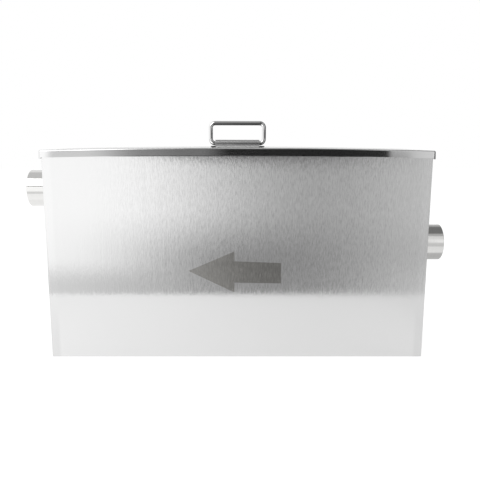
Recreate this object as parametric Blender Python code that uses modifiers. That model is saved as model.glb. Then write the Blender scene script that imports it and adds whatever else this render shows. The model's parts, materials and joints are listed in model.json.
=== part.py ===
import math

import bmesh
import bpy
from mathutils import Matrix, Vector

# Sand trap of folded and welded stainless sheet, in metres, +Z up.
# The origin is the middle of the tank's underside. +X points to the inlet end, -Y to the front.

# Tank
TANK_LENGTH = 0.500
TANK_DEPTH = 0.150
TANK_HEIGHT = 0.2725
TANK_SHEET = 0.0015
FOLD_RADIUS = 0.003
RIM_LIP = 0.014

# Pipe stubs
STUB_DIAMETER = 0.0508
STUB_WALL = 0.0015
STUB_REACH = 0.040
STUB_INSIDE = 0.005
STUB_CHAMFER = 0.0005
INLET_BELOW_RIM = 0.1265
OUTLET_BELOW_RIM = 0.050

# Lid and its seal
LID_SHEET = 0.0012
LID_CLEARANCE = 0.0021
LID_CORNER_RADIUS = 0.0035
LID_FOLD_RADIUS = 0.0016
LONG_FLANGE = 0.0095
END_FLANGE = 0.0107
LID_CAMBER = 0.0032
FLANGE_FLARE = 0.045
SEAL_THICKNESS = 0.003

# Baffles and the channels that hold them
BAFFLE_SHEET = 0.0015
INLET_BAFFLE_DISTANCE = 0.060
INLET_BAFFLE_BELOW_RIM = 0.0345
UNDERFLOW_WIDTH = 0.100
UNDERFLOW_HEIGHT = 0.050
UNDERFLOW_RADIUS = 0.008
FINGER_SLOT_LENGTH = 0.060
FINGER_SLOT_HEIGHT = 0.022
FINGER_SLOT_EDGE = 0.014
OUTLET_WEIR_DISTANCE = 0.085
WEIR_BELOW_OUTLET = 0.017
WEIR_GRIP = 0.015
CHANNEL_SHEET = 0.0012
CHANNEL_LEG = 0.010
CHANNEL_BELOW_TOP = 0.016
SLIDE_CLEARANCE = 0.0005

# Folding handle
WIRE_DIAMETER = 0.006
BAIL_WIDTH = 0.080
BAIL_RISE = 0.0304
BAIL_BEND_RADIUS = 0.006
WIRE_CLEARANCE = 0.0004
WIRE_ABOVE_SADDLE = 0.0007
BARREL_END_CLEARANCE = 0.0003
SADDLE_SHEET = 0.0014
SADDLE_TAIL = 0.0066
SADDLE_FLANGE = 0.014
SADDLE_CORNER_RADIUS = 0.004
SADDLE_FOOT_RADIUS = 0.0022
RIVET_SHANK = 0.004
RIVET_HEAD = 0.0074
RIVET_BULB = 0.0064
RIVET_BULB_HEIGHT = 0.0016
RIVET_FROM_END = 0.011

# Fits and facets
SEAT_GAP = 0.0003
NEAR = 0.00001
FOLD_STEPS = 5
TUBE_STEPS = 64
RIVET_STEPS = 24
CAMBER_STATIONS = 16
WIRE_CORNER_STEPS = 8
WIRE_SIDES = 4
SLOT_STEPS = 10

# Places that follow from the sizes
HALF_LENGTH = TANK_LENGTH / 2
HALF_DEPTH = TANK_DEPTH / 2
WALL_INSIDE = HALF_DEPTH - TANK_SHEET
FLOOR_TOP = TANK_SHEET + SEAT_GAP
STUB_RADIUS = STUB_DIAMETER / 2
INLET_HEIGHT = TANK_HEIGHT - INLET_BELOW_RIM
OUTLET_HEIGHT = TANK_HEIGHT - OUTLET_BELOW_RIM
INLET_BAFFLE_X = HALF_LENGTH - INLET_BAFFLE_DISTANCE
INLET_BAFFLE_TOP = TANK_HEIGHT - INLET_BAFFLE_BELOW_RIM
OUTLET_WEIR_X = OUTLET_WEIR_DISTANCE - HALF_LENGTH
OUTLET_WEIR_TOP = OUTLET_HEIGHT - STUB_RADIUS - WEIR_BELOW_OUTLET
BAFFLE_HALF = WALL_INSIDE - SEAT_GAP - CHANNEL_SHEET - SLIDE_CLEARANCE
SEAL_BOTTOM = TANK_HEIGHT + SEAT_GAP
SEAL_TOP = SEAL_BOTTOM + SEAL_THICKNESS
LID_TOP = SEAL_TOP + SEAT_GAP + LID_SHEET
LID_CROWN = LID_TOP + LID_CAMBER
LID_OVERHANG = LID_CLEARANCE + LID_SHEET
WIRE_RADIUS = WIRE_DIAMETER / 2
SADDLE_TOP = LID_CROWN + SEAT_GAP + SADDLE_SHEET
HINGE_HEIGHT = SADDLE_TOP + WIRE_ABOVE_SADDLE + WIRE_RADIUS
BARREL_OUTSIDE = WIRE_RADIUS + WIRE_CLEARANCE + SADDLE_SHEET
BARREL_LENGTH = BAIL_WIDTH - WIRE_DIAMETER - 2 * (BAIL_BEND_RADIUS + BARREL_END_CLEARANCE)
SADDLE_LENGTH = BARREL_LENGTH + 2 * SADDLE_TAIL

COLLECTION = "sand_trap"
CUTTERS = "sand_trap_cutters"


def clear_scene():
    for thing in list(bpy.data.objects):
        bpy.data.objects.remove(thing, do_unlink=True)


def collection(name):
    group = bpy.data.collections.get(name)
    if group is None:
        group = bpy.data.collections.new(name)
        bpy.context.scene.collection.children.link(group)
    return group


def material(name, colour, roughness, metallic):
    finish = bpy.data.materials.new(name)
    finish.use_nodes = True
    shader = finish.node_tree.nodes["Principled BSDF"]
    shader.inputs["Base Color"].default_value = (*colour, 1.0)
    shader.inputs["Roughness"].default_value = roughness
    shader.inputs["Metallic"].default_value = metallic
    return finish


def brushed(name):
    return material(name + "_finish", (0.62, 0.62, 0.61), 0.34, 1.0)


def place(name, data, finish=None, location=(0, 0, 0), rotation=(0, 0, 0)):
    thing = bpy.data.objects.new(name, data)
    thing.location = location
    thing.rotation_euler = rotation
    if finish is None:
        thing.hide_render = True
        thing.display_type = "WIRE"
        collection(CUTTERS).objects.link(thing)
    else:
        thing.data.materials.append(finish)
        collection(COLLECTION).objects.link(thing)
    return thing


def mesh_from(bm, name):
    mesh = bpy.data.meshes.new(name)
    bm.to_mesh(mesh)
    bm.free()
    return mesh


def fillet(before, corner, after, radius, steps):
    """Points of the arc that rounds a corner of a flat outline."""
    before, corner, after = Vector(before), Vector(corner), Vector(after)
    back = (before - corner).normalized()
    ahead = (after - corner).normalized()
    half_angle = back.angle(ahead) / 2
    centre = corner + (back + ahead).normalized() * (radius / math.sin(half_angle))
    start = corner + back * (radius / math.tan(half_angle)) - centre
    turn = start.angle_signed(corner + ahead * (radius / math.tan(half_angle)) - centre)
    points = []
    for step in range(steps + 1):
        spun = start.copy()
        spun.rotate(Matrix.Rotation(-turn * step / steps, 2))
        points.append(centre + spun)
    return points


def rounded_path(corners, radius, steps, closed=False):
    """A path of straight runs with an arc at each inner corner, or at all corners if closed."""
    count = len(corners)
    points = []
    for index, corner in enumerate(corners):
        if not closed and index in (0, count - 1):
            points.append(Vector(corner))
            continue
        points += fillet(corners[index - 1], corner, corners[(index + 1) % count], radius, steps)
    return points


def face_away_from(bm, inside):
    """Turns an open sheet's faces so that they look away from a point on its inner side."""
    bm.normal_update()
    outward = sum(
        face.normal.dot(face.calc_center_median() - Vector(inside)) * face.calc_area()
        for face in bm.faces
    )
    if outward < 0:
        bmesh.ops.reverse_faces(bm, faces=bm.faces)


def swept_sheet(profile, start, runs):
    """Sweeps a path of 3-D points, laid at start, through each run in turn."""
    bm = bmesh.new()
    verts = [bm.verts.new(point + start) for point in profile]
    edges = [bm.edges.new(pair) for pair in zip(verts, verts[1:])]
    for run in runs:
        swept = bmesh.ops.extrude_edge_only(bm, edges=edges)["geom"]
        moved = [item for item in swept if isinstance(item, bmesh.types.BMVert)]
        bmesh.ops.translate(bm, verts=moved, vec=run)
        edges = [
            item for item in swept
            if isinstance(item, bmesh.types.BMEdge) and all(v in moved for v in item.verts)
        ]
    return bm


def round_corners(bm, verts, radius, segments=FOLD_STEPS):
    """Rounds corners of an open sheet, or nips them straight with one segment."""
    bmesh.ops.bevel(
        bm, geom=verts, offset=radius, offset_type="OFFSET", segments=segments,
        profile=0.5, affect="VERTICES", material=-1,
    )


def thicken(thing, thickness):
    """Gives an outer skin its sheet thickness, inwards."""
    solid = thing.modifiers.new("sheet", "SOLIDIFY")
    solid.thickness = thickness
    solid.offset = -1
    solid.use_even_offset = True
    return solid


def cut(thing, cutter):
    boolean = thing.modifiers.new("cut_" + cutter.name, "BOOLEAN")
    boolean.operation = "DIFFERENCE"
    boolean.solver = "EXACT"
    boolean.object = cutter


def turned(name, profile, steps, finish=None, location=(0, 0, 0), rotation=(0, 0, 0)):
    """Turns a profile of (radius, height) points, outer side from top to bottom, about local Z."""
    bm = bmesh.new()
    verts = [bm.verts.new((radius, 0, height)) for radius, height in profile]
    for pair in zip(verts, verts[1:] + verts[:1]):
        if pair[0].co.x > 0 or pair[1].co.x > 0:
            bm.edges.new(pair)
    thing = place(name, mesh_from(bm, name), finish, location, rotation)
    screw = thing.modifiers.new("turn", "SCREW")
    screw.axis = "Z"
    screw.angle = 2 * math.pi
    screw.steps = steps
    screw.render_steps = steps
    screw.use_merge_vertices = True
    screw.merge_threshold = NEAR
    screw.use_smooth_shade = True
    return thing


def flat_plate(name, outlines, thickness, finish, location, rotation):
    """A plate cut from sheet: the first outline is its edge, and the others are its holes."""
    curve = bpy.data.curves.new(name, "CURVE")
    curve.dimensions = "2D"
    curve.fill_mode = "BOTH"
    curve.extrude = thickness / 2
    for outline in outlines:
        spline = curve.splines.new("POLY")
        spline.points.add(len(outline) - 1)
        spline.use_cyclic_u = True
        for point, corner in zip(spline.points, outline):
            point.co = (corner[0], corner[1], 0, 1)
    return place(name, curve, finish, location, rotation)


def rectangle(width, height, centre=(0, 0)):
    x, y = centre
    return [
        (x - width / 2, y - height / 2),
        (x + width / 2, y - height / 2),
        (x + width / 2, y + height / 2),
        (x - width / 2, y + height / 2),
    ]


def mitre(depth):
    """How far back from the tank's outer corner a rim piece stops, at a depth inside its wall.

    The depth is that of the outer skin. In the fold the inner skin lies deeper, and clears too.
    """
    if depth >= FOLD_RADIUS:
        return depth + SEAT_GAP
    cosine = 1 - depth / FOLD_RADIUS
    return FOLD_RADIUS - (FOLD_RADIUS - TANK_SHEET) * cosine + SEAT_GAP


def tank_shell():
    """Front, floor and back in one folded sheet, with a lip along each long side of the rim."""
    half = HALF_LENGTH - TANK_SHEET - SEAT_GAP
    corners = [
        (-HALF_DEPTH + RIM_LIP, TANK_HEIGHT),
        (-HALF_DEPTH, TANK_HEIGHT),
        (-HALF_DEPTH, 0),
        (HALF_DEPTH, 0),
        (HALF_DEPTH, TANK_HEIGHT),
        (HALF_DEPTH - RIM_LIP, TANK_HEIGHT),
    ]
    path = rounded_path(corners, FOLD_RADIUS, FOLD_STEPS)
    profile = [Vector((0, y, z)) for y, z in path]
    bm = swept_sheet(profile, Vector((-half, 0, 0)), [Vector((2 * half, 0, 0))])
    for vert in bm.verts:
        if vert.co.z > TANK_HEIGHT - FOLD_RADIUS - NEAR:
            limit = HALF_LENGTH - mitre(HALF_DEPTH - abs(vert.co.y))
            vert.co.x = math.copysign(min(half, limit), vert.co.x)
    face_away_from(bm, (0, 0, TANK_HEIGHT / 2))
    thing = place("tank_shell", mesh_from(bm, "tank_shell"), brushed("tank_shell"))
    thicken(thing, TANK_SHEET)


def end_plate(name, side, stub_height):
    """A flat end with a lip folded in at the rim and a hole for its stub."""
    corners = [
        (side * HALF_LENGTH, 0),
        (side * HALF_LENGTH, TANK_HEIGHT),
        (side * (HALF_LENGTH - RIM_LIP), TANK_HEIGHT),
    ]
    path = rounded_path(corners, FOLD_RADIUS, FOLD_STEPS)
    profile = [Vector((x, 0, z)) for x, z in path]
    bm = swept_sheet(profile, Vector((0, -HALF_DEPTH, 0)), [Vector((0, TANK_DEPTH, 0))])
    for vert in bm.verts:
        if vert.co.z > TANK_HEIGHT - FOLD_RADIUS + NEAR:
            limit = HALF_DEPTH - mitre(HALF_LENGTH - abs(vert.co.x))
            vert.co.y = math.copysign(limit, vert.co.y)
    round_corners(bm, [vert for vert in bm.verts if vert.co.z < NEAR], FOLD_RADIUS)
    face_away_from(bm, (0, 0, TANK_HEIGHT / 2))
    thing = place(name, mesh_from(bm, name), brushed(name))
    thicken(thing, TANK_SHEET)
    hole = STUB_RADIUS + SEAT_GAP
    length = STUB_REACH + STUB_INSIDE
    cutter = turned(
        name + "_hole",
        [(0, length), (hole, length), (hole, -length), (0, -length)],
        TUBE_STEPS,
        location=(side * HALF_LENGTH, 0, stub_height),
        rotation=(0, side * math.pi / 2, 0),
    )
    cut(thing, cutter)


def stub(name, side, height):
    """A plain tube end, set through the end plate, with its outer mouth chamfered."""
    inner = STUB_RADIUS - STUB_WALL
    inside = -TANK_SHEET - STUB_INSIDE
    profile = [
        (STUB_RADIUS - STUB_CHAMFER, STUB_REACH),
        (STUB_RADIUS, STUB_REACH - STUB_CHAMFER),
        (STUB_RADIUS, inside),
        (inner, inside),
        (inner, STUB_REACH),
    ]
    turned(
        name, profile, TUBE_STEPS, brushed(name),
        location=(side * HALF_LENGTH, 0, height),
        rotation=(0, side * math.pi / 2, 0),
    )


def channel(name, x, side, top):
    """A narrow U channel on the wall, which a baffle slides into from above."""
    slot = BAFFLE_SHEET + 2 * SLIDE_CLEARANCE
    half = slot / 2 + CHANNEL_SHEET
    back = side * (WALL_INSIDE - SEAT_GAP)
    front = side * (WALL_INSIDE - SEAT_GAP - CHANNEL_LEG)
    path = [(x - half, front), (x - half, back), (x + half, back), (x + half, front)]
    foot = FOLD_RADIUS + SEAT_GAP
    profile = [Vector((u, v, 0)) for u, v in path]
    bm = swept_sheet(profile, Vector((0, 0, foot)), [Vector((0, 0, top - foot))])
    face_away_from(bm, (x, front, (foot + top) / 2))
    thing = place(name, mesh_from(bm, name), brushed(name))
    thicken(thing, CHANNEL_SHEET)


def inlet_baffle():
    """A standing plate that turns the flow down and lets it through at its foot.

    Its lower corners are nipped, to clear the fold of the floor.
    """
    cut_half = UNDERFLOW_WIDTH / 2
    cut_top = FLOOR_TOP + UNDERFLOW_HEIGHT
    arch = rounded_path(
        [(cut_half, FLOOR_TOP), (cut_half, cut_top), (-cut_half, cut_top), (-cut_half, FLOOR_TOP)],
        UNDERFLOW_RADIUS, SLOT_STEPS,
    )
    outline = [
        (-BAFFLE_HALF + FOLD_RADIUS, FLOOR_TOP),
        (-BAFFLE_HALF, FLOOR_TOP + FOLD_RADIUS),
        (-BAFFLE_HALF, INLET_BAFFLE_TOP),
        (BAFFLE_HALF, INLET_BAFFLE_TOP),
        (BAFFLE_HALF, FLOOR_TOP + FOLD_RADIUS),
        (BAFFLE_HALF - FOLD_RADIUS, FLOOR_TOP),
        *arch,
    ]
    slot_height = INLET_BAFFLE_TOP - FINGER_SLOT_EDGE - FINGER_SLOT_HEIGHT / 2
    slot = rounded_path(
        rectangle(FINGER_SLOT_LENGTH, FINGER_SLOT_HEIGHT, (0, slot_height)),
        FINGER_SLOT_HEIGHT / 2 - NEAR, SLOT_STEPS, closed=True,
    )
    flat_plate(
        "inlet_baffle", [outline, slot], BAFFLE_SHEET, brushed("inlet_baffle"),
        location=(INLET_BAFFLE_X, 0, 0), rotation=(math.pi / 2, 0, math.pi / 2),
    )


def outlet_weir():
    """A standing plate that holds the sand back, its top edge folded over as a grip."""
    skin = OUTLET_WEIR_X - BAFFLE_SHEET / 2
    corners = [(skin, FLOOR_TOP), (skin, OUTLET_WEIR_TOP), (skin + WEIR_GRIP, OUTLET_WEIR_TOP)]
    path = rounded_path(corners, FOLD_RADIUS, FOLD_STEPS)
    profile = [Vector((u, 0, z)) for u, z in path]
    bm = swept_sheet(profile, Vector((0, -BAFFLE_HALF, 0)), [Vector((0, 2 * BAFFLE_HALF, 0))])
    round_corners(bm, [vert for vert in bm.verts if vert.co.z < FLOOR_TOP + NEAR], FOLD_RADIUS, 1)
    face_away_from(bm, (skin + WEIR_GRIP, 0, 0))
    thing = place("outlet_weir", mesh_from(bm, "outlet_weir"), brushed("outlet_weir"))
    thicken(thing, BAFFLE_SHEET)


def lid_seal():
    """A flat rubber frame that lies on the lips of the rim."""
    outlines = [
        rectangle(TANK_LENGTH - 2 * inset, TANK_DEPTH - 2 * inset)
        for inset in (FOLD_RADIUS, RIM_LIP)
    ]
    flat_plate(
        "lid_seal", outlines, SEAL_THICKNESS,
        material("lid_seal_finish", (0.03, 0.03, 0.03), 0.7, 0),
        location=(0, 0, (SEAL_BOTTOM + SEAL_TOP) / 2), rotation=(0, 0, 0),
    )


def lid(rivets):
    """A folded tray with welded corners, sprung up along its length, its flanges flared."""
    half_length = HALF_LENGTH + LID_OVERHANG
    half_depth = HALF_DEPTH + LID_OVERHANG
    bm = bmesh.new()
    bmesh.ops.create_grid(bm, x_segments=1, y_segments=1, size=1)
    bmesh.ops.scale(bm, vec=(half_length, half_depth, 1), verts=bm.verts)
    round_corners(bm, bm.verts[:], LID_CORNER_RADIUS)
    skirt = bmesh.ops.extrude_edge_only(bm, edges=bm.edges[:])["geom"]
    hem = [item for item in skirt if isinstance(item, bmesh.types.BMVert)]
    straight_end = half_length - LID_CORNER_RADIUS + NEAR
    for vert in hem:
        vert.co.z = -END_FLANGE if abs(vert.co.x) > straight_end else -LONG_FLANGE
    brow = [edge for edge in bm.edges if edge.verts[0].co.z == edge.verts[1].co.z == 0]
    bmesh.ops.bevel(
        bm, geom=brow, offset=LID_FOLD_RADIUS, offset_type="OFFSET",
        segments=FOLD_STEPS, profile=0.5, affect="EDGES", material=-1, clamp_overlap=True,
    )
    bmesh.ops.remove_doubles(bm, verts=bm.verts, dist=NEAR)
    for station in range(1, CAMBER_STATIONS):
        x = straight_end * (2 * station / CAMBER_STATIONS - 1)
        bmesh.ops.bisect_plane(
            bm, geom=bm.verts[:] + bm.edges[:] + bm.faces[:], plane_co=(x, 0, 0), plane_no=(1, 0, 0)
        )
    flared = ((0, half_length, END_FLANGE), (1, half_depth, LONG_FLANGE))
    for vert in bm.verts:
        lean = FLANGE_FLARE * vert.co.z
        for axis, half, flange in flared:
            if abs(vert.co[axis]) > half - LID_FOLD_RADIUS - NEAR:
                vert.co[axis] -= math.copysign(FLANGE_FLARE * flange + lean, vert.co[axis])
        vert.co.z += LID_TOP + LID_CAMBER * (1 - (vert.co.x / half_length) ** 2)
    face_away_from(bm, (0, 0, 0))
    thing = place("lid", mesh_from(bm, "lid"), brushed("lid"))
    thicken(thing, LID_SHEET)
    shaft = RIVET_SHANK / 2 + SEAT_GAP
    reach = SADDLE_SHEET + LID_SHEET
    for name, x, y in rivets:
        hole = turned(
            name + "_lid_hole",
            [(0, reach), (shaft, reach), (shaft, -reach), (0, -reach)],
            RIVET_STEPS, location=(x, y, LID_CROWN - LID_SHEET / 2),
        )
        cut(thing, hole)


def handle_saddle(rivets):
    """A plate pressed up into a long barrel round the wire, the barrel cut short of the flanges."""
    edge = BARREL_OUTSIDE + SADDLE_FLANGE
    foot = rounded_path(
        [(-edge, SADDLE_TOP), (-BARREL_OUTSIDE, SADDLE_TOP), (-BARREL_OUTSIDE, HINGE_HEIGHT)],
        SADDLE_FOOT_RADIUS, FOLD_STEPS,
    )
    steps = 4 * FOLD_STEPS
    crown = [
        Vector((-BARREL_OUTSIDE * math.cos(math.pi * step / steps),
                HINGE_HEIGHT + BARREL_OUTSIDE * math.sin(math.pi * step / steps)))
        for step in range(1, steps)
    ]
    far_side = [Vector((-point.x, point.y)) for point in reversed(foot)]
    profile = [Vector((0, y, z)) for y, z in foot + crown + far_side]
    runs = [Vector((run, 0, 0)) for run in (SADDLE_TAIL, BARREL_LENGTH, SADDLE_TAIL)]
    bm = swept_sheet(profile, Vector((-SADDLE_LENGTH / 2, 0, 0)), runs)
    flange_start = BARREL_OUTSIDE + SADDLE_FOOT_RADIUS
    spare = []
    for face in bm.faces:
        middle = face.calc_center_median()
        if abs(middle.x) > BARREL_LENGTH / 2 and abs(middle.y) < flange_start:
            spare.append(face)
    bmesh.ops.delete(bm, geom=spare, context="FACES")
    corners = [
        vert for vert in bm.verts
        if abs(vert.co.x) > SADDLE_LENGTH / 2 - NEAR and abs(vert.co.y) > edge - NEAR
    ]
    round_corners(bm, corners, SADDLE_CORNER_RADIUS)
    face_away_from(bm, (0, 0, 0))
    thing = place("handle_saddle", mesh_from(bm, "handle_saddle"), brushed("handle_saddle"))
    thicken(thing, SADDLE_SHEET)
    for name, x, y in rivets:
        cut(thing, countersink(name + "_sink", x, y))


def countersink(name, x, y):
    """The cutter for a rivet's seat, wider than the rivet by the seat gap all round."""
    head = RIVET_HEAD / 2 + SEAT_GAP
    shank = RIVET_SHANK / 2 + SEAT_GAP
    profile = [
        (0, SADDLE_SHEET),
        (head, SADDLE_SHEET),
        (head, 0),
        (shank, shank - head),
        (shank, -2 * SADDLE_SHEET),
        (0, -2 * SADDLE_SHEET),
    ]
    return turned(name, profile, RIVET_STEPS, location=(x, y, SADDLE_TOP))


def handle_rivet(name, x, y):
    """A flush blind rivet through the saddle and the lid, its tail spread under the lid."""
    head = RIVET_HEAD / 2
    shank = RIVET_SHANK / 2
    bulb = RIVET_BULB / 2
    bulb_top = LID_CROWN - LID_SHEET - SEAT_GAP - SADDLE_TOP
    profile = [
        (0, 0),
        (head, 0),
        (shank, shank - head),
        (shank, bulb_top),
        (bulb, bulb_top - RIVET_BULB_HEIGHT / 4),
        (bulb, bulb_top - RIVET_BULB_HEIGHT / 2),
        (shank, bulb_top - RIVET_BULB_HEIGHT),
        (0, bulb_top - RIVET_BULB_HEIGHT),
    ]
    turned(
        name, profile, RIVET_STEPS, material(name + "_finish", (0.7, 0.7, 0.7), 0.3, 1.0),
        location=(x, y, SADDLE_TOP),
    )


def handle_bail():
    """A closed loop of wire whose lower run turns in the barrel."""
    width = BAIL_WIDTH - WIRE_DIAMETER
    rise = BAIL_RISE - WIRE_RADIUS
    loop = rounded_path(
        rectangle(width, rise, (0, rise / 2)), BAIL_BEND_RADIUS, WIRE_CORNER_STEPS, closed=True
    )
    curve = bpy.data.curves.new("handle_bail", "CURVE")
    curve.dimensions = "3D"
    curve.bevel_depth = WIRE_RADIUS
    curve.bevel_resolution = WIRE_SIDES
    spline = curve.splines.new("POLY")
    spline.points.add(len(loop) - 1)
    spline.use_cyclic_u = True
    spline.use_smooth = True
    for point, (x, z) in zip(spline.points, loop):
        point.co = (x, 0, z, 1)
    place(
        "handle_bail", curve, material("handle_bail_finish", (0.8, 0.8, 0.8), 0.12, 1.0),
        location=(0, 0, HINGE_HEIGHT),
    )


def rivet_places():
    x = SADDLE_LENGTH / 2 - RIVET_FROM_END
    y = BARREL_OUTSIDE + (SADDLE_FOOT_RADIUS + SADDLE_FLANGE) / 2
    return [
        (f"handle_rivet_{row}_{end}", x_side * x, y_side * y)
        for row, y_side in (("front", -1), ("back", 1))
        for end, x_side in (("left", -1), ("right", 1))
    ]


def build():
    clear_scene()
    rivets = rivet_places()
    tank_shell()
    for name, side, height in (("inlet", 1, INLET_HEIGHT), ("outlet", -1, OUTLET_HEIGHT)):
        end_plate(name + "_end_plate", side, height)
        stub(name + "_stub", side, height)
    plates = (
        ("inlet", INLET_BAFFLE_X, INLET_BAFFLE_TOP),
        ("outlet", OUTLET_WEIR_X, OUTLET_WEIR_TOP),
    )
    for name, x, top in plates:
        for wall, side in (("front", -1), ("back", 1)):
            channel(f"{name}_channel_{wall}", x, side, top - CHANNEL_BELOW_TOP)
    inlet_baffle()
    outlet_weir()
    lid_seal()
    lid(rivets)
    handle_saddle(rivets)
    for name, x, y in rivets:
        handle_rivet(name, x, y)
    handle_bail()


build()
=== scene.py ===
"""Finish and stage for a sand trap of folded, brushed and welded stainless sheet."""

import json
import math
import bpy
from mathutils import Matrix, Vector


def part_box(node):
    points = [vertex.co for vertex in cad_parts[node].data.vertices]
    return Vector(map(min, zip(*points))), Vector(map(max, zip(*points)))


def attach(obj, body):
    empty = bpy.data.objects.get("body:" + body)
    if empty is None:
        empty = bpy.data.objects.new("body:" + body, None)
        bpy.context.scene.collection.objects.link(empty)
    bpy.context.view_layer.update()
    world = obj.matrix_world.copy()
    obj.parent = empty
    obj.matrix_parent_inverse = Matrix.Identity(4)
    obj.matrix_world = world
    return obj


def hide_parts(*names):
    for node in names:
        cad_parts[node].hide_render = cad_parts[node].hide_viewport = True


bl_info = {
    "name": "Sand trap finish",
    "version": (1, 0, 0),
    "blender": (4, 5, 0),
    "location": "View3D > Sidebar > Sand trap",
    "description": "Dresses the sand trap's sheets, pipe stubs, lid and folding handle",
    "category": "Object",
}

import bmesh
import bpy
from bpy.props import FloatProperty, FloatVectorProperty, IntProperty, PointerProperty
from mathutils import Matrix, Vector

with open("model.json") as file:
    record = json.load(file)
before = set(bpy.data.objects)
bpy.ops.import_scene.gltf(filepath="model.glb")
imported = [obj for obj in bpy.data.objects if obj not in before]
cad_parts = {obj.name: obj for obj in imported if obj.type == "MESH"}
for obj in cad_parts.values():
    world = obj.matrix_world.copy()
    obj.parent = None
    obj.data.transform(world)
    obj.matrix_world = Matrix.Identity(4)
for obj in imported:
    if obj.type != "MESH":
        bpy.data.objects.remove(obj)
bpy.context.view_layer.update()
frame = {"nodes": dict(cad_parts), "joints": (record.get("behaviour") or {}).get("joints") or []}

TANK = "tank"
BAIL = "bail"

# Joining distances, in metres
MERGE = 0.000005
NEAR_WALL = 0.01

# Angles between faces that count as flat, as a sharp edge and as a smooth bend
FLAT = math.radians(0.02)
SHARP = math.radians(40)
SMOOTH = math.radians(38)

# Width under which a face of a flat sheet is part of an eased edge
NARROW = 0.0004

# Sheets and folds, in metres
SHEET = 0.0015
TANK_FOLD = 0.004
RIM_FOLD = 0.0031
LID_FOLD = 0.003
SEAM_SLICE = 0.012
SEAL_EDGE = 0.0005

# How strongly a brushed sheet smears its reflections across the brushing
BRUSHING = 0.95

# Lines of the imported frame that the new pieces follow
SHELL_LOW, SHELL_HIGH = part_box("tank_shell")
LID_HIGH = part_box("lid")[1]
BAIL_LOW, BAIL_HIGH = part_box("handle_bail")
SADDLE_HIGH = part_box("handle_saddle")[1]
FRONT = SHELL_LOW.y
RIM = SHELL_HIGH.z
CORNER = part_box("inlet_end_plate")[1].x
HINGE = Vector(frame["joints"][0]["pos_m"])


class Number:
    """A shader value whose sums and products are written as Python expressions."""

    def __init__(self, graph, socket):
        self.graph = graph
        self.socket = socket

    def maths(self, operation, first, second=None):
        values = {0: first}
        if second is not None:
            values[1] = second
        made = self.graph.add("ShaderNodeMath", {"operation": operation}, values)
        return Number(self.graph, made.outputs[0])

    def __add__(self, other):
        return self.maths("ADD", self, other)

    def __radd__(self, other):
        return self.maths("ADD", other, self)

    def __sub__(self, other):
        return self.maths("SUBTRACT", self, other)

    def __rsub__(self, other):
        return self.maths("SUBTRACT", other, self)

    def __mul__(self, other):
        return self.maths("MULTIPLY", self, other)

    def __rmul__(self, other):
        return self.maths("MULTIPLY", other, self)

    def __gt__(self, other):
        return self.maths("GREATER_THAN", self, other)

    def __lt__(self, other):
        return self.maths("LESS_THAN", self, other)

    def __abs__(self):
        return self.maths("ABSOLUTE", self)

    def clamped(self):
        return self.larger(0).smaller(1)

    def larger(self, other):
        return self.maths("MAXIMUM", self, other)

    def smaller(self, other):
        return self.maths("MINIMUM", self, other)


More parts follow.
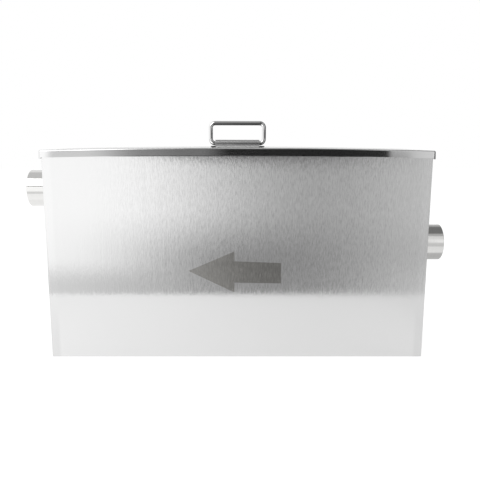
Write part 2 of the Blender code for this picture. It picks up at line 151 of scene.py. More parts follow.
class Graph:
    """The node tree of one material or of the world."""

    def __init__(self, owner):
        owner.use_nodes = True
        self.tree = owner.node_tree
        self.tree.nodes.clear()

    def add(self, kind, settings=None, sockets=None):
        """Adds a node: its settings first, then the values or links of its sockets."""
        made = self.tree.nodes.new(kind)
        for key, value in (settings or {}).items():
            setattr(made, key, value)
        for key, value in (sockets or {}).items():
            socket = made.inputs[key]
            if isinstance(value, Number):
                value = value.socket
            if isinstance(value, bpy.types.NodeSocket):
                self.tree.links.new(value, socket)
            else:
                socket.default_value = value
        return made

    def number(self, kind, settings=None, sockets=None, output=0):
        return Number(self, self.add(kind, settings, sockets).outputs[output])

    def place(self):
        return self.add("ShaderNodeTexCoord").outputs["Object"]

    def axes(self):
        """The surface point's X, Y and Z, in metres."""
        split = self.add("ShaderNodeSeparateXYZ", None, {0: self.place()})
        return [Number(self, output) for output in split.outputs]

    def stretched(self, scale, shift):
        return self.add(
            "ShaderNodeMapping", None,
            {"Vector": self.place(), "Scale": scale, "Location": shift},
        ).outputs[0]

    def noise(self, scale, detail=2.0, roughness=0.5, shift=(0, 0, 0)):
        """Noise of 0 to 1 whose grains are 1 / scale metres long on each axis."""
        return self.number(
            "ShaderNodeTexNoise", None,
            {"Vector": self.stretched(scale, shift), "Scale": 1.0, "Detail": detail,
             "Roughness": roughness},
            "Fac",
        )

    def span(self, value, low, high):
        """0 below low and 1 above high, with a soft step between them."""
        return self.number(
            "ShaderNodeMapRange", {"interpolation_type": "SMOOTHSTEP"},
            {"Value": value, "From Min": low, "From Max": high, "To Min": 0.0, "To Max": 1.0},
        )

    def tone(self, value, start, *changes):
        """A level that starts at one value and changes softly, each (change, from, to)."""
        level = start
        for change, low, high in changes:
            level = self.span(value, low, high) * change + level
        return level

    def shade(self, level, tint):
        """A colour of one tint at a level that varies."""
        return self.add(
            "ShaderNodeMix", {"data_type": "RGBA", "blend_type": "MIX", "clamp_factor": True},
            {0: level, 6: (0, 0, 0, 1), 7: (*tint, 1)},
        ).outputs[2]

    def bump(self, height, depth, normal=None):
        sockets = {"Height": height, "Distance": depth, "Strength": 1.0}
        if normal is not None:
            sockets["Normal"] = normal
        return self.add("ShaderNodeBump", None, sockets).outputs[0]

    def metal(self, colour, roughness, normal, anisotropy=0.0, turn=0.0):
        return self.add(
            "ShaderNodeBsdfPrincipled", None,
            {"Base Color": colour, "Metallic": 1.0, "Roughness": roughness, "Normal": normal,
             "Anisotropic": anisotropy, "Anisotropic Rotation": turn},
        ).outputs[0]

    def surface(self, shader):
        self.add("ShaderNodeOutputMaterial", None, {"Surface": shader})

    def plain_metal(self, level, tint, roughness, height, depth):
        """A whole finish of one metal, from its level, roughness and bumps."""
        self.surface(self.metal(
            self.shade(level.clamped(), tint), roughness.clamped(), self.bump(height, depth),
        ))

    def in_view(self):
        """1 for what the camera, a mirror or glass sees, and 1 for what a mirror sees."""
        path = self.add("ShaderNodeLightPath")
        camera, mirror, glass = (
            Number(self, path.outputs[name])
            for name in ("Is Camera Ray", "Is Glossy Ray", "Is Transmission Ray")
        )
        return camera.larger(mirror).larger(glass), mirror


class SteelSettings(bpy.types.PropertyGroup):
    tint: FloatVectorProperty(
        name="Steel", description="Colour of the bare stainless steel",
        default=(0.78, 0.78, 0.78), subtype="COLOR", min=0, max=1,
    )
    lid_roughness: FloatProperty(
        name="Lid roughness", description="Roughness of the brushed lid",
        default=0.075, min=0, max=1, subtype="FACTOR",
    )
    wire_roughness: FloatProperty(
        name="Wire roughness", description="Roughness of the polished handle wire",
        default=0.045, min=0, max=1, subtype="FACTOR",
    )
    edge_radius: FloatProperty(
        name="Edge radius", description="Rounding of the sheets' cut edges",
        default=0.00018, unit="LENGTH",
    )
    corner_radius: FloatProperty(
        name="Ground corner", description="Rounding of the ground and welded tank corners",
        default=0.0006, unit="LENGTH",
    )


class StubSettings(bpy.types.PropertyGroup):
    steps: IntProperty(name="Facets", description="Facets round a pipe stub", default=144)
    wall: FloatProperty(
        name="Wall", description="Wall thickness of the pipe stubs", default=0.0015, unit="LENGTH",
    )
    chamfer: FloatProperty(
        name="Chamfer", description="Chamfer of the stubs' outer mouths",
        default=0.0005, unit="LENGTH",
    )
    bead: FloatProperty(
        name="Weld bead", description="Height of the weld bead round a stub",
        default=0.0008, unit="LENGTH",
    )


class HandleSettings(bpy.types.PropertyGroup):
    wire_facets: IntProperty(name="Facets", description="Facets round the wire", default=32)
    bend_radius: FloatProperty(
        name="Bend radius", description="Radius of the wire's bends at its middle line",
        default=0.006, unit="LENGTH",
    )
    rivet_dimple: FloatProperty(
        name="Rivet dimple", description="Radius of the dimple in a rivet's head",
        default=0.0011, unit="LENGTH",
    )


class ArrowSettings(bpy.types.PropertyGroup):
    tip: FloatProperty(
        name="Tip", description="Place of the arrow's tip along the tank",
        default=-0.0646, unit="LENGTH",
    )
    neck: FloatProperty(
        name="Neck", description="Place where the arrow's head meets its shaft",
        default=-0.0038, unit="LENGTH",
    )
    end: FloatProperty(
        name="End", description="Place of the shaft's end", default=0.0579, unit="LENGTH",
    )
    height: FloatProperty(
        name="Height", description="Height of the arrow's middle line", default=0.1185,
        unit="LENGTH",
    )
    head_width: FloatProperty(
        name="Head", description="Width of the head", default=0.0554, unit="LENGTH",
    )
    shaft_width: FloatProperty(
        name="Shaft", description="Width of the shaft at the head", default=0.029,
        unit="LENGTH",
    )
    end_width: FloatProperty(
        name="Shaft end", description="Width of the shaft at its end", default=0.0276,
        unit="LENGTH",
    )
    slope: FloatProperty(
        name="Slope", description="How far the arrow drops for each metre to its end",
        default=0.025,
    )
    proud: FloatProperty(
        name="Thickness", description="How far the etched film stands proud of the sheet",
        default=0.00004, unit="LENGTH",
    )
    tint: FloatVectorProperty(
        name="Etching", description="Colour of the etched steel",
        default=(0.535, 0.526, 0.503), subtype="COLOR", min=0, max=1,
    )


class StageSettings(bpy.types.PropertyGroup):
    table_front: FloatProperty(
        name="Table front", description="Place of the table's front edge",
        default=-0.3943, unit="LENGTH",
    )
    table_half_width: FloatProperty(
        name="Table half width", description="Half the table's width", default=4.0,
        unit="LENGTH",
    )
    table_back: FloatProperty(
        name="Table back", description="Place of the table's far edge", default=5.0,
        unit="LENGTH",
    )
    room_front: FloatProperty(
        name="Front wall", description="Place of the studio wall behind the camera",
        default=-1.575, unit="LENGTH",
    )
    room_back: FloatProperty(
        name="Back wall", description="Place of the studio's back wall", default=2.6,
        unit="LENGTH",
    )
    room_side: FloatProperty(
        name="Side walls", description="Half the studio's width", default=1.7, unit="LENGTH",
    )
    room_floor: FloatProperty(
        name="Floor", description="Height of the studio's floor under the table",
        default=-1.2, unit="LENGTH",
    )
    room_ceiling: FloatProperty(
        name="Ceiling", description="Height of the studio's ceiling", default=1.75,
        unit="LENGTH",
    )
    lens: FloatProperty(name="Lens", description="Focal length in millimetres", default=42.51)
    camera: FloatVectorProperty(
        name="Camera", description="Place of the camera", default=(-0.0006, -0.8051, 0.2908),
        subtype="TRANSLATION",
    )
    pitch: FloatProperty(
        name="Pitch", description="How far the camera looks down",
        default=math.radians(10.04), subtype="ANGLE",
    )
    yaw: FloatProperty(
        name="Yaw", description="How far the camera looks to the right",
        default=math.radians(0.32), subtype="ANGLE",
    )
    roll: FloatProperty(
        name="Roll", description="Roll of the camera", default=math.radians(-0.11),
        subtype="ANGLE",
    )


class SandTrapSettings(bpy.types.PropertyGroup):
    steel: PointerProperty(type=SteelSettings)
    stub: PointerProperty(type=StubSettings)
    handle: PointerProperty(type=HandleSettings)
    arrow: PointerProperty(type=ArrowSettings)
    stage: PointerProperty(type=StageSettings)


def settings():
    return bpy.context.scene.sand_trap


def object_of(name, bm, finish):
    """Turns a bmesh into a linked object with one finish."""
    mesh = bpy.data.meshes.new(name)
    bm.to_mesh(mesh)
    bm.free()
    mesh.materials.append(finish)
    thing = bpy.data.objects.new(name, mesh)
    bpy.context.scene.collection.objects.link(thing)
    return thing


def piece(name, bm, finish, body=TANK, nodes=(), smooth=SMOOTH, flat=False):
    """Makes a finished piece of a bmesh; flat keeps its wide faces exactly flat."""
    widths = [2 * face.calc_area() / face.calc_perimeter() for face in bm.faces]
    thing = object_of(name, bm, finish)
    thing.data.shade_smooth()
    thing.data.set_sharp_from_angle(angle=smooth)
    if flat:
        thing.data.polygons.foreach_set("use_smooth", [width < NARROW for width in widths])
    else:
        weighted = thing.modifiers.new("even_normals", "WEIGHTED_NORMAL")
        weighted.keep_sharp = True
        weighted.weight = 100
    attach(thing, body)
    if nodes:
        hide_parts(*nodes)
    return thing


def merged(node):
    """A CAD node's surface as one bmesh, with its flat faces whole again."""
    bm = bmesh.new()
    bm.from_mesh(frame["nodes"][node].data)
    bmesh.ops.remove_doubles(bm, verts=bm.verts, dist=MERGE)
    bmesh.ops.dissolve_limit(bm, angle_limit=FLAT, verts=bm.verts, edges=bm.edges)
    return bm


def ease(bm, edges, radius, segments=2):
    bmesh.ops.bevel(
        bm, geom=edges, offset=radius, offset_type="OFFSET", segments=segments, profile=0.5,
        affect="EDGES", material=-1, clamp_overlap=True,
    )


def sharp_edges(bm):
    return [edge for edge in bm.edges if edge.is_manifold and edge.calc_face_angle() > SHARP]


def new_finish(name):
    finish = bpy.data.materials.new(name)
    return finish, Graph(finish)


def brushed_steel(name, tint, ground_corners=False, right_half_painted_shade=0):
    """Sheet brushed upwards, in short hairlines that scatter reflections sideways.

    Its ends can be ground smoother, a little lighter and darker towards the bottom, and it can
    darken its right half with painted shade.
    """
    finish, graph = new_finish(name)
    scratches = graph.noise((2600.0, 2600.0, 60.0), detail=3.0, roughness=0.6)
    hairs = graph.noise((900.0, 900.0, 140.0), detail=2.0, roughness=0.6, shift=(3.1, 1.7, 0.4))
    runs = graph.noise((160.0, 160.0, 9.0), detail=2.0, roughness=0.55, shift=(0.7, 2.3, 5.2))
    clouds = graph.noise((9.0, 9.0, 7.0), detail=2.0)
    x, _, z = graph.axes()
    # The hairlines' colour is real grain, but how strong it is across the sheet is a painted
    # reflection: strongest in the middle, less at the right, weak at the bright left, and none
    # below 8 cm, where the sheet mirrors the table.
    grain_contrast_painted_by_reflection = graph.tone(x, 0.03, (0.62, -0.22, -0.02), (-0.35, 0.16, 0.23))
    grain_contrast_painted_by_reflection = grain_contrast_painted_by_reflection * graph.span(z, 0.08, 0.1)
    level = 0.94 + (hairs - 0.5) * grain_contrast_painted_by_reflection + (scratches - 0.5) * 0.04 + (clouds - 0.5) * 0.02
    # Painted shade: the right half is darkened, as if less light falls there.
    if right_half_painted_shade:
        level = level - graph.span(x, -0.04, 0.05) * right_half_painted_shade
    roughness = graph.tone(x, 0.098, (0.062, -0.22, 0.16))
    rough = roughness + (scratches - 0.5) * 0.03 + (hairs - 0.5) * 0.03 + (runs - 0.5) * 0.03
    if ground_corners:
        ground = graph.span(abs(x), CORNER - 0.014, CORNER - 0.008)
        rough = rough - ground * 0.02
        level = level + ground * (graph.span(z, 0.02, 0.10) * 0.08 - 0.06)
    waves = graph.bump(runs, 0.00006)
    grain = graph.bump(hairs, 0.00005, waves)
    fine = graph.bump(scratches, 0.000003, grain)
    graph.surface(graph.metal(
        graph.shade(level.clamped(), tint), rough.clamped(), fine, BRUSHING,
    ))
    return finish


def lid_steel(name, tint):
    """Brushed along the lid; on its top the smear comes from the scratches alone.

    The flange's smear is turned a quarter, as its brushing runs level.
    """
    finish, graph = new_finish(name)
    scale = (14.0, 2600.0, 2600.0)
    scratches = graph.noise(scale, detail=3.0, roughness=0.6)
    streaks = graph.noise(tuple(value * 0.16 for value in scale), detail=2.0, roughness=0.55)
    level = 0.96 + (scratches - 0.5) * 0.05 + (streaks - 0.5) * 0.03
    base = settings().steel.lid_roughness
    rough = base + (scratches - 0.5) * 0.02 + (streaks - 0.5) * 0.01
    height = scratches * 0.5 + streaks
    colour = graph.shade(level.clamped(), tint)
    flange = graph.metal(colour, rough.clamped(), graph.bump(height, 0.000002), BRUSHING, 0.25)
    top = graph.metal(colour, (rough + 0.14).clamped(), graph.bump(height, 0.00003))
    x, y, _ = graph.axes()
    inside = (abs(y) < LID_HIGH.y - LID_FOLD) * (abs(x) < LID_HIGH.x - LID_FOLD)
    mixed = graph.add("ShaderNodeMixShader", None, {0: inside, 1: flange, 2: top})
    graph.surface(mixed.outputs[0])
    return finish


def turned_steel(name, tint):
    """Tube polished round and round, so that its fine rings smear reflections along it."""
    finish, graph = new_finish(name)
    rings = graph.noise((3000.0, 40.0, 40.0), detail=3.0, roughness=0.6)
    bands = graph.noise((420.0, 16.0, 16.0), detail=2.0)
    level = 0.95 + (rings - 0.5) * 0.08 + (bands - 0.5) * 0.08
    rough = 0.11 + (bands - 0.5) * 0.05
    graph.plain_metal(level, tint, rough, rings * 0.5 + bands, 0.00001)
    return finish


def saddle_steel(name, tint):
    """Brushed plate with dull sawn edges; by the barrel's ends these edges are darkened with
    painted shade.
    """
    finish, graph = new_finish(name)
    scratches = graph.noise((60.0, 3800.0, 3800.0), detail=3.0, roughness=0.6)
    x, y, _ = graph.axes()
    sawn = abs(y) > SADDLE_HIGH.y - 0.001
    ends = graph.span(abs(x), 0.029, 0.0305)
    # Painted shade: the sawn edges are darkened by the barrel's ends, under the bail's bends.
    level = 0.93 + (scratches - 0.5) * 0.14 - sawn * ends * 0.85
    rough = 0.24 + (scratches - 0.5) * 0.08 + sawn * 0.36
    graph.plain_metal(level, tint, rough, scratches, 0.000012)
    return finish


def wire_steel(name, tint, with_painted_shade=False):
    """Polished steel; it can paint shade on the bail's underside and on its lower bends."""
    finish, graph = new_finish(name)
    marks = graph.noise((900.0, 900.0, 900.0), detail=3.0)
    swirl = graph.noise((160.0, 160.0, 160.0), detail=2.0)
    rough = settings().steel.wire_roughness + (marks - 0.5) * 0.02 + (swirl - 0.5) * 0.02
    level = 0.97 + (marks - 0.5) * 0.04
    if with_painted_shade:
        x, _, z = graph.axes()
        # Painted shade: the lower bends are darkened nearly to black where they meet the barrel.
        rise = z - HINGE.z + (BAIL_HIGH.x - abs(x)) * 0.35
        level = level * (0.06 + 0.94 * graph.span(rise, 0.0008, 0.0020))
        # Painted shade: the grip's underside is darkened along its middle.
        under = graph.span(z, BAIL_HIGH.z - 0.007, BAIL_HIGH.z - 0.006)
        under = under - graph.span(z, BAIL_HIGH.z - 0.0036, BAIL_HIGH.z - 0.0026)
        level = level * (1 - 0.7 * under * (abs(x) < 0.0335))
    graph.plain_metal(level, tint, rough, marks, 0.000003)
    return finish


def weld_steel(name, tint):
    """A fine bead of rippled, slightly dull filler."""
    finish, graph = new_finish(name)
    ripple = graph.noise((700.0, 700.0, 700.0), detail=3.0)
    level = 0.86 + (ripple - 0.5) * 0.2
    rough = 0.27 + (ripple - 0.5) * 0.16
    graph.plain_metal(level, tint, rough, ripple, 0.00012)
    return finish


def rubber(name):
    """Matt black rubber with a faint bloom."""
    finish, graph = new_finish(name)
    bloom = graph.noise((900.0, 900.0, 900.0), detail=4.0)
    level = 0.75 + (bloom - 0.5) * 0.5
    shader = graph.add(
        "ShaderNodeBsdfPrincipled", None,
        {"Base Color": graph.shade(level.clamped(), (0.035, 0.035, 0.036)),
         "Roughness": 0.62 + (bloom - 0.5) * 0.2, "Normal": graph.bump(bloom, 0.00003)},
    ).outputs[0]
    graph.surface(shader)
    return finish


class SANDTRAP_OT_tank(bpy.types.Operator):
    """Folded shell and flat ends, with ground corners"""

    bl_idname = "sand_trap.tank"
    bl_label = "Tank sheets"

    def execute(self, context):
        steel = settings().steel
        finish = brushed_steel("brushed_tank_sheet", steel.tint, ground_corners=True)
        seam = SHELL_HIGH.x - MERGE
        bm = merged("tank_shell")
        edges = [
            edge for edge in sharp_edges(bm)
            if not all(abs(vert.co.x) > seam for vert in edge.verts)
        ]
        ease(bm, edges, steel.edge_radius)
        piece(
            "tank_sheet", bm, finish, nodes=["tank_shell"], flat=True,
        )
        for side in ("inlet", "outlet"):
            bm = merged(side + "_end_plate")
            outer = [
                edge for edge in sharp_edges(bm)
                if all(abs(vert.co.x) > CORNER - MERGE for vert in edge.verts)
                and all(abs(vert.co.y) > SHELL_HIGH.y - TANK_FOLD or vert.co.z < TANK_FOLD
                        for vert in edge.verts)
            ]
            ease(bm, outer, steel.corner_radius, 3)
            piece(
                side + "_end_sheet", bm, finish,
                nodes=[side + "_end_plate"], flat=True,
            )
        return {"FINISHED"}


class SANDTRAP_OT_seams(bpy.types.Operator):
    """Ground weld seams between the shell and the ends, each a slice of the shell"""

    bl_idname = "sand_trap.seams"
    bl_label = "Weld seams"

    def execute(self, context):
        finish = brushed_steel("ground_seam", settings().steel.tint, ground_corners=True)
        start = SHELL_HIGH.x
        width = CORNER - SHEET - start
        top = RIM - RIM_FOLD
        for name, side in (("inlet_seam", 1), ("outlet_seam", -1)):
            bm = merged("tank_shell")
            cuts = [
                (Vector((side * (start - SEAM_SLICE), 0, 0)), Vector((-side, 0, 0))),
                (Vector((side * (start - SEAM_SLICE + width), 0, 0)), Vector((side, 0, 0))),
                (Vector((0, 0, top)), Vector((0, 0, 1))),
            ]
            for point, normal in cuts:
                made = bmesh.ops.bisect_plane(
                    bm, geom=bm.verts[:] + bm.edges[:] + bm.faces[:], plane_co=point,
                    plane_no=normal, clear_outer=True,
                )
                rim = [item for item in made["geom_cut"] if isinstance(item, bmesh.types.BMEdge)]
                bmesh.ops.holes_fill(bm, edges=rim, sides=0)
            bmesh.ops.translate(bm, verts=bm.verts, vec=(side * SEAM_SLICE, 0, 0))
            bmesh.ops.recalc_face_normals(bm, faces=bm.faces)
            piece(name, bm, finish, flat=True)
        return {"FINISHED"}


def spun(profile, steps, centre, axis):
    """Turns a closed profile of points about an axis through a centre."""
    bm = bmesh.new()
    verts = [bm.verts.new(point) for point in profile]
    edges = [bm.edges.new(pair) for pair in zip(verts, verts[1:] + verts[:1])]
    bmesh.ops.spin(
        bm, geom=verts + edges, cent=centre, axis=axis, angle=2 * math.pi, steps=steps,
        use_merge=True,
    )
    bmesh.ops.remove_doubles(bm, verts=bm.verts, dist=MERGE)
    bmesh.ops.recalc_face_normals(bm, faces=bm.faces)
    return bm


class SANDTRAP_OT_stubs(bpy.types.Operator):
    """Pipe stubs with chamfered mouths, and the weld beads round them"""

    bl_idname = "sand_trap.stubs"
    bl_label = "Pipe stubs"

    def execute(self, context):
        stub = settings().stub
        steel = settings().steel
        warm = (steel.tint[0], steel.tint[1] * 0.995, steel.tint[2] * 0.98)
        finish = turned_steel("polished_tube", warm)
        bead_finish = weld_steel("weld_bead", steel.tint)
        for side in ("inlet", "outlet"):
            low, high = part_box(side + "_stub")
            centre = (low + high) / 2
            radius = (high.z - low.z) / 2
            out = 1 if side == "inlet" else -1
            mouth = high.x if side == "inlet" else low.x
            root = low.x if side == "inlet" else high.x
            inner = radius - stub.wall
            corners = [
                (root, inner), (root, radius), (mouth - out * stub.chamfer, radius),
                (mouth, radius - stub.chamfer), (mouth, inner + stub.chamfer / 3),
                (mouth - out * stub.chamfer / 3, inner),
            ]
            profile = [(x, 0, centre.z + reach) for x, reach in corners]
            bm = spun(profile, stub.steps, centre, (1, 0, 0))
            rings = [edge for edge in bm.edges if edge.calc_face_angle() > math.radians(30)]
            ease(bm, rings, stub.chamfer / 4)
            piece(side + "_pipe", bm, finish, nodes=[side + "_stub"])
            bead = stub.bead
            rounding = [
                (bead * along, bead * up)
                for along, up in ((0.97, 0.18), (0.78, 0.52), (0.48, 0.8), (0.14, 1.0))
            ]
            section = [
                (-0.0004, -0.0003), (bead, -0.0003), *rounding, (-0.0004, bead),
            ]
            profile = [
                (out * (CORNER + along), 0, centre.z + radius + up) for along, up in section
            ]
            bm = spun(profile, stub.steps, centre, (1, 0, 0))
            piece(side + "_weld_bead", bm, bead_finish, smooth=1.2)
        return {"FINISHED"}


class SANDTRAP_OT_lid(bpy.types.Operator):
    """Folded lid and its rubber seal"""

    bl_idname = "sand_trap.lid"
    bl_label = "Lid"

    def execute(self, context):
        steel = settings().steel
        bm = merged("lid")
        ease(bm, sharp_edges(bm), steel.edge_radius)
        piece(
            "lid_tray", bm, lid_steel("brushed_lid_sheet", steel.tint),
            nodes=["lid"],
        )
        bm = merged("lid_seal")
        ease(bm, sharp_edges(bm), SEAL_EDGE)
        piece("rim_seal", bm, rubber("black_rubber"), nodes=["lid_seal"])
        return {"FINISHED"}


class SANDTRAP_OT_inside(bpy.types.Operator):
    """Baffle, weir and the channels that hold them"""

    bl_idname = "sand_trap.inside"
    bl_label = "Inside plates"

    def execute(self, context):
        steel = settings().steel
        finish = brushed_steel("brushed_inner_sheet", steel.tint)
        nodes = {"inlet_baffle": "standing_baffle", "outlet_weir": "standing_weir"}
        for end in ("inlet", "outlet"):
            for wall in ("front", "back"):
                nodes[f"{end}_channel_{wall}"] = f"{end}_guide_{wall}"
        for node, name in nodes.items():
            bm = merged(node)
            ease(bm, sharp_edges(bm), steel.edge_radius)
            piece(name, bm, finish, nodes=[node], flat=True)
        return {"FINISHED"}


class SANDTRAP_OT_handle(bpy.types.Operator):
    """Folding handle: saddle plate, rivets and wire bail"""

    bl_idname = "sand_trap.handle"
    bl_label = "Handle"

    def execute(self, context):
        steel = settings().steel
        bm = merged("handle_saddle")
        ease(bm, sharp_edges(bm), steel.edge_radius)
        plate = saddle_steel("brushed_handle_plate", steel.tint)
        piece("saddle_plate", bm, plate, nodes=["handle_saddle"])
        self.rivets()
        self.bail()
        return {"FINISHED"}

    def rivets(self):
        finish = wire_steel("rivet_steel_finish", settings().steel.tint)
        dimple = settings().handle.rivet_dimple
        edge = 0.0001
        shank = 0.002
        bulb = 0.0032
        for row in ("front", "back"):
            for end in ("left", "right"):
                node = f"handle_rivet_{row}_{end}"
                low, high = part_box(node)
                centre = (low + high) / 2
                head = (high.x - low.x) / 2
                top = high.z
                profile = [
                    (dimple * 0.9, top - 0.0009), (dimple, top - edge),
                    (dimple + edge, top), (head - edge, top), (head, top - edge),
                    (shank, top + shank - head), (shank, low.z + 0.0016),
                    (bulb, low.z + 0.0012), (bulb, low.z + 0.0008), (shank, low.z),
                ]
                bm = bmesh.new()
                verts = [
                    bm.verts.new((centre.x + reach, centre.y, z)) for reach, z in profile
                ]
                edges = [bm.edges.new(pair) for pair in zip(verts, verts[1:])]
                bmesh.ops.spin(
                    bm, geom=verts + edges, cent=centre, axis=(0, 0, 1), angle=2 * math.pi,
                    steps=40, use_merge=True,
                )
                bmesh.ops.remove_doubles(bm, verts=bm.verts, dist=MERGE)
                bmesh.ops.holes_fill(bm, edges=bm.edges, sides=0)
                bmesh.ops.recalc_face_normals(bm, faces=bm.faces)
                piece(f"rivet_{row}_{end}", bm, finish, nodes=[node])

    def bail(self):
        """A closed loop of round wire: straight runs and four spun bends."""
        handle = settings().handle
        radius = BAIL_HIGH.y
        bend = handle.bend_radius
        left = BAIL_LOW.x + radius
        right = BAIL_HIGH.x - radius
        low = HINGE.z
        high = BAIL_HIGH.z - radius
        bm = bmesh.new()
        start = Matrix.Translation((left + bend, 0, low)) @ Matrix.Rotation(math.pi / 2, 4, "Y")
        ring = bmesh.ops.create_circle(
            bm, segments=handle.wire_facets, radius=radius, matrix=start,
        )["verts"]
        edges = list({edge for vert in ring for edge in vert.link_edges})
        width = right - left - 2 * bend
        rise = high - low - 2 * bend
        runs = [
            (Vector((width, 0, 0)), Vector((right - bend, 0, low + bend))),
            (Vector((0, 0, rise)), Vector((right - bend, 0, high - bend))),
            (Vector((-width, 0, 0)), Vector((left + bend, 0, high - bend))),
            (Vector((0, 0, -rise)), Vector((left + bend, 0, low + bend))),
        ]
        for run, centre in runs:
            made = bmesh.ops.extrude_edge_only(bm, edges=edges)["geom"]
            verts = [item for item in made if isinstance(item, bmesh.types.BMVert)]
            edges = [
                item for item in made
                if isinstance(item, bmesh.types.BMEdge) and all(v in verts for v in item.verts)
            ]
            bmesh.ops.translate(bm, verts=verts, vec=run)
            made = bmesh.ops.spin(
                bm, geom=verts + edges, cent=centre, axis=(0, -1, 0), angle=math.pi / 2,
                steps=14,
            )["geom_last"]
            edges = [item for item in made if isinstance(item, bmesh.types.BMEdge)]
        bmesh.ops.remove_doubles(bm, verts=bm.verts, dist=MERGE)
        bmesh.ops.recalc_face_normals(bm, faces=bm.faces)
        finish = wire_steel("polished_wire", settings().steel.tint, with_painted_shade=True)
        piece("bail_wire", bm, finish, BAIL, ["handle_bail"])


class SANDTRAP_OT_arrow(bpy.types.Operator):
    """Etched arrow that gives the direction of flow"""

    bl_idname = "sand_trap.arrow"
    bl_label = "Flow arrow"

    def execute(self, context):
        arrow = settings().arrow
        half_head = arrow.head_width / 2
        upper = [
            (arrow.neck, half_head), (arrow.neck, arrow.shaft_width / 2),
            (arrow.end, arrow.end_width / 2),
        ]
        outline = [(arrow.tip, 0), *upper, *[(x, -z) for x, z in reversed(upper)]]
        bm = bmesh.new()
        verts = [
            bm.verts.new((x, FRONT, arrow.height + z - (x - arrow.neck) * arrow.slope))
            for x, z in outline
        ]
        face = bm.faces.new(verts)
        made = bmesh.ops.extrude_face_region(bm, geom=[face])["geom"]
        moved = [item for item in made if isinstance(item, bmesh.types.BMVert)]
        bmesh.ops.translate(bm, verts=moved, vec=(0, -arrow.proud, 0))
        bmesh.ops.recalc_face_normals(bm, faces=bm.faces)
        finish = brushed_steel("etched_arrow", arrow.tint, right_half_painted_shade=0.17)
        piece("flow_arrow", bm, finish)
        return {"FINISHED"}


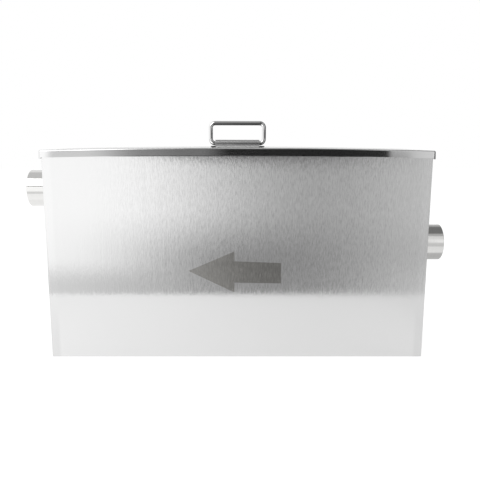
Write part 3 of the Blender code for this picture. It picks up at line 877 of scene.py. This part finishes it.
class SANDTRAP_OT_stage(bpy.types.Operator):
    """Pale table, studio screen, soft lamps and camera"""

    bl_idname = "sand_trap.stage"
    bl_label = "Stage"

    def execute(self, context):
        self.table()
        self.room()
        self.world(context)
        self.lamps(context)
        self.camera(context)
        context.scene.view_settings.view_transform = "Standard"
        return {"FINISHED"}

    def table(self):
        """A pale table whose reflection in the metal falls off away from the object."""
        stage = settings().stage
        depth = stage.table_back - stage.table_front
        bm = bmesh.new()
        bmesh.ops.create_cube(bm, size=1)
        bmesh.ops.scale(bm, vec=(2 * stage.table_half_width, depth, 0.03), verts=bm.verts)
        bmesh.ops.translate(
            bm, vec=(0, stage.table_front + depth / 2, -0.0151), verts=bm.verts
        )
        finish, graph = new_finish("white_table")
        seen, mirrored = graph.in_view()
        plain = graph.add("ShaderNodeBsdfDiffuse", None, {"Color": (0.85, 0.85, 0.85, 1)})
        faint = graph.add("ShaderNodeBsdfDiffuse", None, {"Color": (0.22, 0.22, 0.22, 1)})
        x, y, _ = graph.axes()
        # Painted reflection: the glow that the metal mirrors of the table is dimmed towards the
        # right and beside the tank's ends, and dimmed less close to the tank; the camera sees it
        # evenly white.
        painted_reflection_beside_ends = graph.span(abs(x), 0.26, 0.29) * graph.span(y, -0.10, -0.06)
        painted_reflection_falloff = (
            graph.span(x, -0.35, 0.2) * 0.155 + graph.span(x, 0.27, 0.31) * 0.04
            - graph.tone(y, 0.0, (0.03, -0.38, -0.2), (0.03, -0.25, -0.1))
            + painted_reflection_beside_ends * graph.tone(x, 0.08, (0.27, -0.1, 0.1))
        )
        level = 0.90 - mirrored * (painted_reflection_falloff + 0.02)
        glow = graph.add("ShaderNodeEmission", None, {"Color": level, "Strength": 1.0})
        both = graph.add("ShaderNodeAddShader", None, {0: faint.outputs[0], 1: glow.outputs[0]})
        mixed = graph.add(
            "ShaderNodeMixShader", None, {0: seen, 1: plain.outputs[0], 2: both.outputs[0]}
        )
        graph.surface(mixed.outputs[0])
        table = object_of("table", bm, finish)

    def room(self):
        """The walls and ceiling of the studio, which only the metal and the light see."""
        stage = settings().stage
        low = Vector((-stage.room_side, stage.room_front, stage.room_floor))
        high = Vector((stage.room_side, stage.room_back, stage.room_ceiling))
        bm = bmesh.new()
        bmesh.ops.create_cube(bm, size=1)
        bmesh.ops.scale(bm, vec=high - low, verts=bm.verts)
        bmesh.ops.translate(bm, vec=(high + low) / 2, verts=bm.verts)
        bmesh.ops.reverse_faces(bm, faces=bm.faces)
        below = [face for face in bm.faces if face.calc_center_median().z < low.z + MERGE]
        bmesh.ops.delete(bm, geom=below, context="FACES")
        finish, graph = new_finish("room_light")
        x, y, z = graph.axes()
        level = (
            self.front_wall(graph, x, z) * (y < low.y + NEAR_WALL)
            + self.right_wall(graph, y, z) * (x > high.x - NEAR_WALL)
            + self.ceiling(graph, x, y) * (z > high.z - NEAR_WALL)
            + self.back_wall(graph, z) * (y > high.y - NEAR_WALL)
            + 1.1 * (x < low.x + NEAR_WALL)
        )
        glow = graph.add("ShaderNodeEmission", None, {"Color": level, "Strength": 1.0})
        graph.surface(glow.outputs[0])
        room = object_of("studio_room", bm, finish)
        room.visible_camera = False
        room.visible_shadow = False

    def front_wall(self, graph, x, z):
        """White screens at both sides, and between them the studio's dark depth."""
        low = graph.tone(x, 0.87, (-0.20, -0.80, -0.35), (-0.38, -0.42, 0.12), (0.46, 0.35, 0.78))
        middle = graph.tone(x, 1.22, (-0.96, -0.72, 0.06), (0.30, 0.26, 0.72), (0.1, 0.6, 0.8))
        high = graph.tone(x, 1.27, (-0.885, -0.53, 0.30), (0.38, 0.38, 0.84))
        dark = graph.tone(
            x, 1.3, (-0.54, -0.76, -0.72), (-0.49, -0.61, -0.36), (-0.075, -0.36, -0.20),
            (-0.175, -0.15, -0.02), (0.51, 0.585, 0.610), (0.24, 0.615, 0.76), (0.32, 0.76, 0.84),
        )
        far = graph.tone(x, 1.4, (-1.1, -0.76, -0.40), (-0.2, 0.08, 0.25), (0.75, 0.50, 0.75))
        level = low + (middle - low) * graph.span(z, -0.29, -0.18)
        level = level + (high - level) * graph.span(z, -0.20, 0.04)
        start = graph.tone(x, 0.25, (-0.06, -0.43, -0.18), (-0.02, 0.0, 0.15), (0.03, 0.4, 0.6))
        depth = graph.tone(x, 0.045, (0.06, -0.1, 0.3))
        level = level + (dark - level) * graph.span(z, start, start + depth)
        level = level + (far - level) * graph.span(z, 0.55, 1.2)
        door = graph.span(z, 0.285, 0.295) - graph.span(z, 0.335, 0.345)
        gap = graph.span(x, 0.66, 0.70) - graph.span(x, 0.96, 1.0)
        level = level * (1 - door * graph.span(x, 0.15, 0.35) * (0.96 - gap * 0.96))
        left = 1 - graph.span(x, -0.76, -0.66)
        slit = graph.span(z, 0.66, 0.68) - graph.span(z, 0.82, 0.84)
        return level * (1 - left * slit * 0.85)

    def right_wall(self, graph, y, z):
        """Dim below the height of the handle, dark above it."""
        level = graph.tone(z, 0.42, (-0.36, 0.275, 0.29))
        return level + (0.76 - level) * graph.span(y, 0.4, 1.3)

    def back_wall(self, graph, z):
        return graph.tone(z, 1.0, (-0.3, 0.3, 1.6))

    def ceiling(self, graph, x, y):
        """Bright at the left front, and dull over the middle and the right."""
        level = graph.tone(x, 0.68, (-0.27, -0.7, -0.1), (-0.20, 0.05, 0.35))
        front = 1 - graph.span(y, -0.95, -0.70)
        screens = graph.tone(x, 0.7, (-0.7, -0.75, -0.35), (0.3, 0.4, 0.7))
        return level + front * screens + graph.span(y, 0.7, 1.6) * 0.28

    def world(self, context):
        world = bpy.data.worlds.new("studio")
        context.scene.world = world
        graph = Graph(world)
        seen, _ = graph.in_view()
        soft = graph.add(
            "ShaderNodeBackground", None, {"Color": (1, 1, 1, 1), "Strength": 0.45}
        )
        white = graph.add(
            "ShaderNodeBackground", None, {"Color": (1, 1, 1, 1), "Strength": 1.0}
        )
        mixed = graph.add(
            "ShaderNodeMixShader", None, {0: seen, 1: soft.outputs[0], 2: white.outputs[0]}
        )
        graph.add("ShaderNodeOutputWorld", None, {"Surface": mixed.outputs[0]})

    def lamps(self, context):
        # Name, place, size, power and whether the metal mirrors it
        plans = (
            ("key_lamp", (-0.85, -1.05, 1.25), 1.1, 7.0, True),
            ("top_lamp", (0.2, 0.3, 1.7), 1.8, 14.0, False),
            ("fill_lamp", (1.3, -0.9, 1.2), 1.2, 5.0, False),
        )
        for name, location, size, power, seen in plans:
            lamp = bpy.data.lights.new(name, "AREA")
            lamp.shape = "SQUARE"
            lamp.size = size
            lamp.energy = power
            thing = bpy.data.objects.new(name, lamp)
            thing.location = location
            aim = Vector((0, 0, 0.14)) - Vector(location)
            thing.rotation_euler = aim.to_track_quat("-Z", "Y").to_euler()
            thing.visible_glossy = seen
            context.scene.collection.objects.link(thing)

    def camera(self, context):
        stage = settings().stage
        lens = bpy.data.cameras.new("camera")
        lens.lens = stage.lens
        lens.sensor_width = 36.0
        camera = bpy.data.objects.new("camera", lens)
        context.scene.collection.objects.link(camera)
        ahead = Vector((math.sin(stage.yaw), math.cos(stage.yaw), 0))
        side = Vector((math.cos(stage.yaw), -math.sin(stage.yaw), 0))
        raised = math.sin(stage.pitch) * ahead + math.cos(stage.pitch) * Vector((0, 0, 1))
        view = math.cos(stage.pitch) * ahead - math.sin(stage.pitch) * Vector((0, 0, 1))
        right = math.cos(stage.roll) * side - math.sin(stage.roll) * raised
        up = math.sin(stage.roll) * side + math.cos(stage.roll) * raised
        turn = Matrix((right, up, -view)).transposed().to_4x4()
        camera.matrix_world = Matrix.Translation(stage.camera) @ turn
        context.scene.camera = camera


class SANDTRAP_PT_panel(bpy.types.Panel):
    bl_label = "Sand trap"
    bl_space_type = "VIEW_3D"
    bl_region_type = "UI"
    bl_category = "Sand trap"

    def draw(self, context):
        for operator in OPERATORS:
            self.layout.operator(operator.bl_idname)


OPERATORS = (
    SANDTRAP_OT_tank,
    SANDTRAP_OT_seams,
    SANDTRAP_OT_stubs,
    SANDTRAP_OT_inside,
    SANDTRAP_OT_lid,
    SANDTRAP_OT_handle,
    SANDTRAP_OT_arrow,
    SANDTRAP_OT_stage,
)
CLASSES = (
    SteelSettings,
    StubSettings,
    HandleSettings,
    ArrowSettings,
    StageSettings,
    SandTrapSettings,
    *OPERATORS,
    SANDTRAP_PT_panel,
)


def register():
    for kind in CLASSES:
        bpy.utils.register_class(kind)
    bpy.types.Scene.sand_trap = PointerProperty(type=SandTrapSettings)


def unregister():
    del bpy.types.Scene.sand_trap
    for kind in reversed(CLASSES):
        bpy.utils.unregister_class(kind)


def main():
    register()
    bpy.ops.sand_trap.tank()
    bpy.ops.sand_trap.seams()
    bpy.ops.sand_trap.stubs()
    bpy.ops.sand_trap.inside()
    bpy.ops.sand_trap.lid()
    bpy.ops.sand_trap.handle()
    bpy.ops.sand_trap.arrow()
    bpy.ops.sand_trap.stage()


if __name__ == "__main__":
    main()
